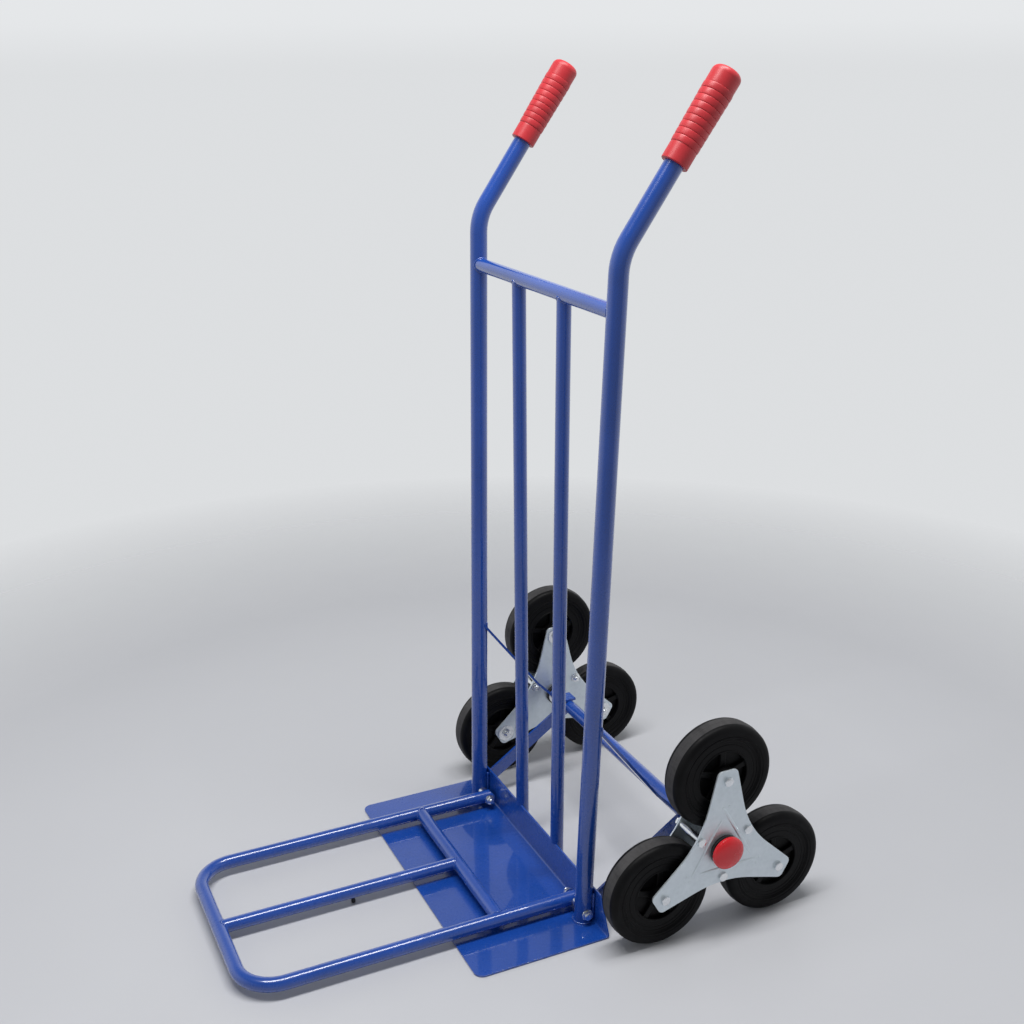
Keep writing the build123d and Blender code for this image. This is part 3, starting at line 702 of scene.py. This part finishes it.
def hub_cap(name, side):
    """The glossy red cap on the axle's end: a narrow neck, a round rim and a shallow dome."""
    low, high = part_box("hub_cap_right")
    centre = joints["right_cluster_spin"]
    radius = (high.y - low.y) / 2
    back = low.x
    rim_start = back + 1 * MM
    dome_start = rim_start + 3.8 * MM
    rise = high.x - dome_start
    profile = [(back, 0), (back, 15 * MM), (rim_start, 15 * MM)]
    profile += arc((rim_start + 1.1 * MM, radius - 1.1 * MM), 1.1 * MM, 180, 90, 5)
    for k in range(1, 19):
        angle = pi / 2 * k / 18
        bulge = (radius * cos(angle), rise * sin(angle))
        profile.append((dome_start + bulge[1], bulge[0] if k < 18 else 0))
    bm = bmesh.new()
    lathe(bm, profile, (0, centre.y, centre.z), X_AXIS, 96)
    piece(bm, f"{name}_dome", cap_plastic, "frame", [name], side, 50)


# --------------------------------------------------------------------------- wheels


def tyre(name, side, centre, body):
    """A solid tyre: crowned dusty tread, mould line, round shoulders, a thin ring on each side."""
    low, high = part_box(name)
    radius = (high.z - low.z) / 2
    half = (high.x - low.x) / 2
    flat = 10 * MM
    half_profile = [(0, radius, 1), (0.35 * MM, radius, 1), (0.8 * MM, radius - 0.3 * MM, 1)]
    for across, mark in ((2, 1), (4, 1), (6, 1), (8, 1), (9.3, 1), (9.7, 0), (10, 0)):
        drop = 0.3 * MM + 0.8 * MM * (across / 10) ** 2
        half_profile.append((across * MM, radius - drop, mark))
    shoulder = half - flat
    for angle in (78, 64, 50, 36, 22, 8):
        across = flat + shoulder * cos(radians(angle)) * 0.985
        half_profile.append((across, radius - 1.1 * MM - shoulder * (1 - sin(radians(angle))), 0.0))
    half_profile += [
        (half, radius - 10.5 * MM, 0.0),
        (half, radius - 15.4 * MM, 0.0),
        (half - 0.8 * MM, radius - 16.4 * MM, 0.0),
        (half - 0.8 * MM, radius - 17.6 * MM, 0.0),
        (half - 0.2 * MM, radius - 18.1 * MM, 0.0),
        (half - 0.2 * MM, radius - 19.8 * MM, 0.0),
        (half - 1.2 * MM, radius - 20.4 * MM, 0.0),
        (half - 2.3 * MM, radius - 21.6 * MM, 0.0),
        (half - 3.1 * MM, radius - 22.5 * MM, 0.0),
    ]
    profile = half_profile + [(-across, r, m) for across, r, m in reversed(half_profile[1:])]
    bm = bmesh.new()
    bm.verts.layers.float.new("mark")
    lathe(bm, [p[:2] for p in profile], centre, X_AXIS, 128, [p[2] for p in profile])
    piece(bm, f"{name}_solid", tyre_black, body, [name], side, 38)


def rim(name, side, centre, body):
    """A moulded black rim: stepped outer ring, closed web, long hub and five ribs each side."""
    low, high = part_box(name)
    outer = 60.5 * MM
    inner = 40 * MM
    half = 16 * MM
    hub = 17 * MM
    hub_half = (high.x - low.x) / 2
    bore = 7.06 * MM
    bm = bmesh.new()
    ring = [
        (half, outer - 0.05 * MM),
        (half, outer - 2.4 * MM),
        (half - 0.9 * MM, outer - 3.1 * MM),
        (half - 0.9 * MM, outer - 7.3 * MM),
        (half - 1.5 * MM, outer - 7.9 * MM),
        (half - 1.5 * MM, outer - 8.9 * MM),
        (half - 0.9 * MM, outer - 9.5 * MM),
        (half - 0.9 * MM, inner + 3.0 * MM),
        (half - 0.1 * MM, inner + 2.2 * MM),
        (half - 0.1 * MM, inner + 0.9 * MM),
        (half - 0.9 * MM, inner),
        (half - 7.0 * MM, inner - 0.8 * MM),
    ]
    lathe(bm, ring + [(-across, r) for across, r in reversed(ring)], centre, X_AXIS, 128)
    hub_profile = [
        (hub_half, bore),
        (hub_half, hub - 1.2 * MM),
        (hub_half - 1.2 * MM, hub),
        (7 * MM, hub + 1.2 * MM),
    ]
    lathe(bm, hub_profile + [(-across, r) for across, r in reversed(hub_profile)], centre, X_AXIS, 64)
    web = 7 * MM
    web_profile = [(web, hub - 2 * MM), (web, inner - 1 * MM), (web + 1.5 * MM, inner + 1.5 * MM)]
    lathe(bm, web_profile + [(-across, r) for across, r in reversed(web_profile)], centre, X_AXIS, 96)
    ribs = 5
    for k in range(ribs):
        rib(bm, centre, radians(90 + 360 * k / ribs), hub - 1.5 * MM, inner + 1.5 * MM)
    piece(bm, f"{name}_moulding", rim_plastic, body, [name], side, 38)


def rib(bm, centre, angle, start, end):
    """A rib of the rim: rounded on its edges and flared where it joins hub and ring."""
    out = Vector((0, cos(angle), sin(angle)))
    across = Vector((0, -sin(angle), cos(angle)))
    half_depth = 13 * MM
    loops = []
    for k in range(13):
        share = k / 12
        flare = 2.4 * MM * (abs(2 * share - 1) ** 4)
        half_width = 4.5 * MM + flare
        edge = 1.4 * MM
        middle = Vector(centre) + out * (start + (end - start) * share)
        loop = []
        corners = ((1, 1, 0), (-1, 1, 90), (-1, -1, 180), (1, -1, 270))
        for side_x, side_w, first in corners:
            for step in range(5):
                turn = radians(first + 90 * step / 4)
                x = side_x * (half_depth - edge) + edge * cos(turn)
                w = side_w * (half_width - edge) + edge * sin(turn)
                loop.append(middle + X_AXIS * x + across * w)
        loops.append(loop)
    skin(bm, loops)


# --------------------------------------------------------------------------- clusters


def star_point(angle, radius, across=0.0):
    """Y and Z about the cluster's centre: out along an arm's direction, then across it."""
    turn = radians(angle)
    return Vector(
        (radius * cos(turn) + across * sin(turn), radius * sin(turn) - across * cos(turn))
    )


def star_plate(name, side, centre, body, embossed):
    """A three-armed plate with rounded edges; the outer one has pressed ridges and dimples."""
    low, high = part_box(name.replace("left", "right"))
    hub = Vector((centre.y, centre.z))
    corners, radii = [], []
    for angle in WHEELS.values():
        corners += [
            hub + star_point(angle, STAR_TIP, STAR_TIP_HALF),
            hub + star_point(angle, STAR_TIP, -STAR_TIP_HALF),
            hub + star_point(angle + 60, STAR_NOTCH),
        ]
        radii += [STAR_CORNER] * 2 + [STAR_NOTCH_ROUND]
    outline = rounded(corners, radii)
    holes = [circle_outline(hub, BUSH_RADIUS, 48)]
    for angle in WHEELS.values():
        holes.append(circle_outline(hub + star_point(angle, WHEEL_BOLT_RADIUS), BOLT_HOLE))
        holes.append(circle_outline(hub + star_point(angle + 60, SPACER_BOLT_RADIUS), BOLT_HOLE))
    bm = bmesh.new()
    plate(bm, outline, holes, low.x, high.x - low.x)
    if embossed:
        for angle in WHEELS.values():
            ridge(bm, hub, angle + 60, high.x)
            for across in (-5 * MM, 5 * MM):
                spot = hub + star_point(angle, 70.5 * MM, across)
                dome = [
                    (-0.3 * MM, 0),
                    (-0.3 * MM, 2.6 * MM),
                    (0.2 * MM, 2.3 * MM),
                    (0.6 * MM, 1.2 * MM),
                    (0.7 * MM, 0),
                ]
                lathe(bm, dome, (high.x, spot.x, spot.y), X_AXIS, 20)
    piece(bm, f"{name}_sheet", zinc_sheet, body, [name], side, 35)


def ridge(bm, hub, angle, face):
    """A pressed ridge beside the hub, across a notch's direction, fading out at both ends."""
    length = 104 * MM
    shift = -10 * MM
    distance = 31 * MM
    half_width = 2.8 * MM
    rise = 1.4 * MM
    loops = []
    steps = 28
    for k in range(steps + 1):
        share = -1 + 2 * k / steps
        fade = max(0.06, 1 - abs(share) ** 6)
        loop = []
        for step in range(9):
            turn = pi * step / 8
            across = half_width * fade**0.5 * cos(turn)
            spot = hub + star_point(angle, distance + across, shift + share * length / 2)
            height = rise * fade * sin(turn) ** 1.6
            loop.append(Vector((face + height - 0.05 * MM, spot.x, spot.y)))
        base = [Vector((face - 0.4 * MM, point.y, point.z)) for point in (loop[-1], loop[0])]
        loops.append(loop + base)
    skin(bm, loops)


def bolt_set(name, side, places, body, head_start, head_end, tail_end, dome):
    """Bolts along X: chamfered heads on the outside, threaded tails on the inside."""
    bm = bmesh.new()
    for place in places:
        hexagon(bm, place, head_start, head_end - head_start - dome, 1, dome=dome)
        threaded_end(bm, place, head_start + 1 * MM, tail_end)
    piece(bm, f"{name}_m8", zinc_bright, body, [name], side, 30)


def nut(bm, place, start, end):
    """A locking nut along X, growing inwards: hexagon, then a round collar with its ring."""
    hexagon(bm, place, start, abs(end - start) - NUT_COLLAR, -1, (True, True), SHANK)
    collar_start = start - (abs(end - start) - NUT_COLLAR) + 0.2 * MM
    profile = [
        (0, SHANK),
        (0, 6.0 * MM),
        (1.0 * MM, 5.9 * MM),
        (1.6 * MM, 5.3 * MM),
        (1.8 * MM, 4.8 * MM),
        (1.8 * MM, SHANK),
    ]
    lathe(bm, profile, (collar_start, place.y, place.z), -X_AXIS, 40)


def washers(bm, places, radius, bore, start, end):
    """Flat washers along X with slightly rounded rims."""
    edge = min(0.35 * MM, abs(end - start) / 3)
    profile = [
        (start, bore),
        (start, radius - edge),
        (start + edge, radius),
        (end - edge, radius),
        (end, radius - edge),
        (end, bore),
    ]
    for place in places:
        lathe(bm, profile, (0, place.y, place.z), X_AXIS, 48)


def cluster(side_name):
    """Everything that turns as one: plates, bolts, nuts, spacers and washers."""
    side = SIDES[side_name]
    body = f"{side_name}_cluster"
    centre = joints["right_cluster_spin"]
    hub = Vector((0, centre.y, centre.z))

    def spots(offset, radius):
        places = []
        for angle in WHEELS.values():
            flat = star_point(angle + offset, radius)
            places.append(hub + Vector((0, flat.x, flat.y)))
        return places

    wheel_spots = spots(0, WHEEL_BOLT_RADIUS)
    spacer_spots = spots(60, SPACER_BOLT_RADIUS)
    star_plate(f"outer_star_plate_{side_name}", side, centre, body, True)
    star_plate(f"inner_star_plate_{side_name}", side, centre, body, False)

    outer_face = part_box("outer_star_plate_right")[1].x
    washer_low, washer_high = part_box("wheel_washers_right")
    nuts_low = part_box("cluster_nuts_right")[0]
    wheel_bolt_low, wheel_bolt_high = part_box("wheel_axle_bolts_right")
    spacer_bolt_low, spacer_bolt_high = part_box("spacer_bolts_right")
    bolt_set(
        f"wheel_axle_bolts_{side_name}", side, wheel_spots, body,
        outer_face, wheel_bolt_high.x, wheel_bolt_low.x, 0.7 * MM,
    )
    bolt_set(
        f"spacer_bolts_{side_name}", side, spacer_spots, body,
        outer_face, spacer_bolt_high.x - 1.6 * MM, spacer_bolt_low.x, 0.4 * MM,
    )
    bm = bmesh.new()
    for place in wheel_spots:
        nut(bm, place, washer_low.x, nuts_low.x)
    spacer_washer_low, spacer_washer_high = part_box("spacer_washers_right")
    nut_length = washer_low.x - nuts_low.x
    for place in spacer_spots:
        nut(bm, place, spacer_washer_low.x, spacer_washer_low.x - nut_length)
    piece(
        bm, f"cluster_nuts_{side_name}_locking", zinc_bright, body,
        [f"cluster_nuts_{side_name}"], side, 30,
    )
    bm = bmesh.new()
    washers(bm, wheel_spots, 15 * MM, SHANK, washer_low.x, washer_high.x)
    piece(
        bm, f"wheel_washers_{side_name}_flat", zinc_bright, body,
        [f"wheel_washers_{side_name}"], side, 30,
    )

    bm = bmesh.new()
    washers(bm, spacer_spots, 8.5 * MM, SHANK, spacer_washer_low.x, spacer_washer_high.x)
    piece(
        bm, f"spacer_washers_{side_name}_flat", zinc_bright, body,
        [f"spacer_washers_{side_name}"], side, 30,
    )

    for wheel, wheel_spot in zip(WHEELS, wheel_spots):
        wheel_body = f"{side_name}_{wheel}_wheel"
        wheel_centre = Vector((centre.x, wheel_spot.y, wheel_spot.z))
        tyre(f"tyre_{wheel}_{side_name}", side, wheel_centre, wheel_body)
        rim(f"rim_{wheel}_{side_name}", side, wheel_centre, wheel_body)


# --------------------------------------------------------------------------- extension hardware


def pivot_hardware():
    """Bolts, washers and nuts that the extension turns on, both sides in each piece."""
    pivot = joints["extension_fold"]
    spot = [Vector((0, pivot.y, pivot.z))]
    bolt_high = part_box("pivot_bolts")[1].x
    nut_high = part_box("pivot_nuts")[1].x
    washer_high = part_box("pivot_washers")[1].x
    washer = 1.6 * MM
    nut_length = 6.5 * MM
    tail = 2.5 * MM
    for side_name, side in SIDES.items():
        bm = bmesh.new()
        hexagon(bm, spot[0], washer_high, bolt_high - washer_high - 0.4 * MM, 1, dome=0.4 * MM)
        threaded_end(bm, spot[0], washer_high + 1 * MM, nut_high - nut_length - tail)
        piece(
            bm, f"pivot_bolt_{side_name}", zinc_bright, "frame",
            ["pivot_bolts"], side, 30,
        )
        bm = bmesh.new()
        nut(bm, spot[0], nut_high, nut_high - nut_length)
        piece(bm, f"pivot_nut_{side_name}", zinc_bright, "frame", ["pivot_nuts"], side, 30)
        bm = bmesh.new()
        washers(bm, spot, 8.5 * MM, SHANK, washer_high - washer, washer_high)
        washers(bm, spot, 8.5 * MM, SHANK, nut_high, nut_high + washer)
        piece(
            bm, f"pivot_washer_{side_name}", zinc_bright, "frame",
            ["pivot_washers"], side, 30,
        )


def extension_foot():
    """The small rubber foot under the middle rail, rounded where it meets the floor."""
    low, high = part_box("extension_foot")
    radius = (high.x - low.x) / 2
    centre = (low + high) / 2
    top = high.z - low.z
    profile = [(0, 0), (0, radius - 1.6 * MM)]
    profile += arc((1.4 * MM, radius - 1.4 * MM), 1.4 * MM, 180, 90, 5)
    profile += [(5 * MM, radius), (5.6 * MM, radius - 0.8 * MM), (top, radius - 1.0 * MM), (top, 0)]
    bm = bmesh.new()
    lathe(bm, profile, (centre.x, centre.y, low.z), (0, 0, 1), 40)
    piece(bm, "extension_foot_rubber", foot_rubber, "extension", ["extension_foot"])


# --------------------------------------------------------------------------- welds


def frame_welds(side_name):
    """Beads where the bars, braces and plate join one upright and the axle."""
    side = SIDES[side_name]
    bm = bmesh.new()
    crossbar_low, crossbar_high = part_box("top_crossbar")
    crossbar_z = (crossbar_low.z + crossbar_high.z) / 2
    crossbar_radius = (crossbar_high.z - crossbar_low.z) / 2
    joint = upright_point(crossbar_z)
    bead(bm, saddle(joint, -X_AXIS, crossbar_radius, joint, UPRIGHT_RUN, UPRIGHT_RADIUS), 1.7 * MM, True)

    bar_radius = 10.5 * MM
    bar_foot = Vector((62.8 * MM, 21 * MM, 7 * MM))
    bar_top = Vector((72 * MM, joint.y, crossbar_z))
    bar_run = (bar_foot - bar_top).normalized()
    bead(bm, saddle(bar_top, bar_run, bar_radius, bar_top, X_AXIS, crossbar_radius), 1.5 * MM, True)
    plate_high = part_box("toe_plate")[1]
    flange_back = plate_high.y
    for way in (-1, 1):
        low_end = Vector((63.0 * MM + way * 9.6 * MM, flange_back - 0.3 * MM, 14 * MM))
        high_end = Vector((63.3 * MM + way * 9.6 * MM, flange_back + 0.7 * MM, 50 * MM))
        bead(bm, line(low_end, high_end), 2.0 * MM)

    foot_path = []
    for k in range(-62, 63):
        angle = radians(-90 + k * 2)
        out = UPRIGHT_RADIUS + 0.4 * MM
        foot_path.append(FOOT + Vector((out * cos(angle), out * sin(angle), 0.6 * MM)))
    bead(bm, foot_path, 2.0 * MM)
    for way in (-1, 1):
        start = upright_point(8 * MM) + Vector((way * 10.5 * MM, 11 * MM, 0))
        end = upright_point(52 * MM) + Vector((way * 10.5 * MM, 11 * MM, 0))
        bead(bm, line(start, end), 2.2 * MM)

    brace_low, brace_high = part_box("lower_brace_right")
    for x in (brace_low.x - 0.4 * MM, brace_high.x + 0.4 * MM):
        start = Vector((x, flange_back + 0.4 * MM - 0.8 * MM, 21 * MM))
        end = Vector((x, flange_back + 0.6 * MM, 50 * MM))
        bead(bm, line(start, end), 1.9 * MM)

    axle_low, axle_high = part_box("axle")
    axle_radius = (axle_high.z - axle_low.z) / 2
    hub = joints["right_cluster_spin"]
    for x in (brace_low.x - 0.3 * MM, brace_high.x + 0.3 * MM):
        path = []
        for k in range(-34, 35):
            angle = radians(214 + k * 1.9)
            out = axle_radius + 0.5 * MM
            path.append(Vector((x, hub.y + out * cos(angle), hub.z + out * sin(angle))))
        bead(bm, path, 1.9 * MM)
    strap_low, strap_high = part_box("upper_brace_right")
    strap_z = hub.z + axle_radius + 0.6 * MM
    for y in (hub.y - 5.6 * MM, hub.y + 5.6 * MM):
        height = hub.z + sqrt(axle_radius**2 - (y - hub.y) ** 2) + 1.0 * MM
        start = Vector((strap_low.x + 1 * MM, y, min(height, strap_z)))
        end = Vector((strap_high.x - 1 * MM, y, min(height, strap_z)))
        bead(bm, line(start, end), 1.9 * MM)
    strap_top = strap_high.z
    back = upright_point(strap_top)
    for x_way in (-1, 1):
        start = back + Vector((x_way * 10.8 * MM, 8.8 * MM, -1 * MM))
        end = upright_point(strap_top - 14 * MM) + Vector((x_way * 10.8 * MM, 9.2 * MM, 0))
        bead(bm, line(start, end), 1.8 * MM)
    piece(bm, f"frame_welds_{side_name}", blue_tube, "frame", (), side, 60)


def extension_welds():
    """Beads where the cross tube, the middle rail and the hoop join."""
    bm = bmesh.new()
    hoop_low, hoop_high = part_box("extension_hoop")
    rail_radius = (hoop_high.z - hoop_low.z) / 2
    rail_x = hoop_high.x - rail_radius
    tube_low, tube_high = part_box("cross_tube")
    tube_radius = (tube_high.z - tube_low.z) / 2
    tube_y = (tube_low.y + tube_high.y) / 2
    height = (tube_high.z + tube_low.z) / 2
    along = Vector((0, 1, 0))
    for way in (-1, 1):
        corner = Vector((way * rail_x, tube_y, height))
        bead(bm, saddle(corner, X_AXIS * -way, tube_radius, corner, along, rail_radius), 1.7 * MM, True)
    middle_low, middle_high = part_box("middle_rail")
    middle_radius = (middle_high.x - middle_low.x) / 2
    tee = Vector((0, tube_y, height))
    bead(bm, saddle(tee, -along, middle_radius, tee, X_AXIS, tube_radius), 1.6 * MM, True)
    front = Vector((0, hoop_low.y + rail_radius, height))
    bead(bm, saddle(front, along, middle_radius, front, X_AXIS, rail_radius), 1.6 * MM, True)
    piece(bm, "extension_welds", blue_tube, "extension", (), 1, 60)


# --------------------------------------------------------------------------- stage


def camera():
    """The camera, level but for a slight roll, and with no shift."""
    azimuth, elevation = CAMERA_AZIMUTH, CAMERA_ELEVATION
    back = Vector((sin(azimuth) * cos(elevation), -cos(azimuth) * cos(elevation), sin(elevation)))
    right = Vector((cos(azimuth), sin(azimuth), 0))
    up = back.cross(right)
    rolled_right = right * cos(CAMERA_ROLL) + up * sin(CAMERA_ROLL)
    rolled_up = up * cos(CAMERA_ROLL) - right * sin(CAMERA_ROLL)
    data = bpy.data.cameras.new("camera")
    data.lens = CAMERA_LENS
    data.sensor_width = CAMERA_SENSOR
    data.clip_end = 100
    obj = bpy.data.objects.new("camera", data)
    turn = Matrix((rolled_right, rolled_up, back)).transposed().to_4x4()
    obj.matrix_world = Matrix.Translation(CAMERA_PLACE) @ turn
    scene.collection.objects.link(obj)
    scene.camera = obj


def area_light(name, place, target, size, power, colour):
    """A soft rectangular light that faces a point."""
    data = bpy.data.lights.new(name, "AREA")
    data.shape = "RECTANGLE"
    data.size, data.size_y = size
    data.energy = power
    data.color = colour
    obj = bpy.data.objects.new(name, data)
    aim = Vector(target) - Vector(place)
    obj.matrix_world = Matrix.Translation(place) @ aim.to_track_quat("-Z", "Y").to_matrix().to_4x4()
    scene.collection.objects.link(obj)


def studio():
    """A pale floor that fades out, a pale room darker on one side, and a strip light overhead."""
    bm = bmesh.new()
    bmesh.ops.create_circle(bm, cap_ends=True, segments=96, radius=2.2)
    mesh = bpy.data.meshes.new("floor")
    bm.to_mesh(mesh)
    bm.free()
    floor = bpy.data.objects.new("floor", mesh)
    scene.collection.objects.link(floor)
    shader = Shader("floor_paint", IOR=1.45)
    shader.principled.inputs["Base Color"].default_value = (0.53, 0.54, 0.57, 1)
    tone = shader.noise(1.3, 5, 0.6)
    shader.feed("Base Color", shader.blend(tone, (0.515, 0.525, 0.555), (0.55, 0.56, 0.59)))
    shader.feed("Roughness", shader.span(shader.noise(5, 4, 0.6), 0.3, 0.7, 0.42, 0.55))
    length = shader.tree.nodes.new("ShaderNodeVectorMath")
    length.operation = "LENGTH"
    shader.tree.links.new(shader.place, length.inputs[0])
    shader.feed("Alpha", shader.span(length.outputs["Value"], 1.1, 2.0, 1, 0))
    mesh.materials.append(shader.material)

    world = bpy.data.worlds.new("surround")
    world.use_nodes = True
    tree = world.node_tree
    background = tree.nodes["Background"]
    direction = tree.nodes.new("ShaderNodeTexCoord").outputs["Generated"]
    split = tree.nodes.new("ShaderNodeSeparateXYZ")
    level = tree.nodes.new("ShaderNodeMapRange")
    level.inputs[1].default_value = -1.0
    ramp = tree.nodes.new("ShaderNodeValToRGB")
    stops = ramp.color_ramp.elements
    stops[0].position, stops[0].color = 0.49, (0.72, 0.735, 0.75, 1)
    stops[1].position, stops[1].color = 1.0, (0.16, 0.17, 0.18, 1)
    for place, tone in ((0.505, 0.80), (0.71, 0.80), (0.86, 0.2)):
        stops.new(place).color = (tone * 0.98, tone, tone * 1.02, 1)
    tree.links.new(direction, split.inputs[0])
    tree.links.new(split.outputs["Z"], level.inputs[0])
    tree.links.new(level.outputs[0], ramp.inputs[0])
    facing = tree.nodes.new("ShaderNodeVectorMath")
    facing.operation = "DOT_PRODUCT"
    facing.inputs[1].default_value = (0.9, -0.42, 0.0)
    shade = tree.nodes.new("ShaderNodeMapRange")
    shade.interpolation_type = "SMOOTHSTEP"
    for socket, value in zip(shade.inputs[1:5], (0.0, 0.8, 1.0, 0.4)):
        socket.default_value = value
    dim = tree.nodes.new("ShaderNodeMix")
    dim.data_type = "RGBA"
    dim.inputs[6].default_value = (0, 0, 0, 1)
    tree.links.new(direction, facing.inputs[0])
    tree.links.new(facing.outputs["Value"], shade.inputs[0])
    tree.links.new(shade.outputs[0], dim.inputs[0])
    tree.links.new(ramp.outputs[0], dim.inputs[7])
    tree.links.new(dim.outputs[2], background.inputs["Color"])
    scene.world = world
    area_light("overhead_strip", (0.2, -0.2, 2.9), (0.2, -0.2, 0), (0.6, 2.4), 78, (1.0, 0.99, 0.98))


camera()
studio()
toe_plate()
for side_name, side in SIDES.items():
    grip(f"grip_{side_name}", side)
    hub_cap(f"hub_cap_{side_name}", side)
    cluster(side_name)
    frame_welds(side_name)
pivot_hardware()
extension_foot()
extension_welds()
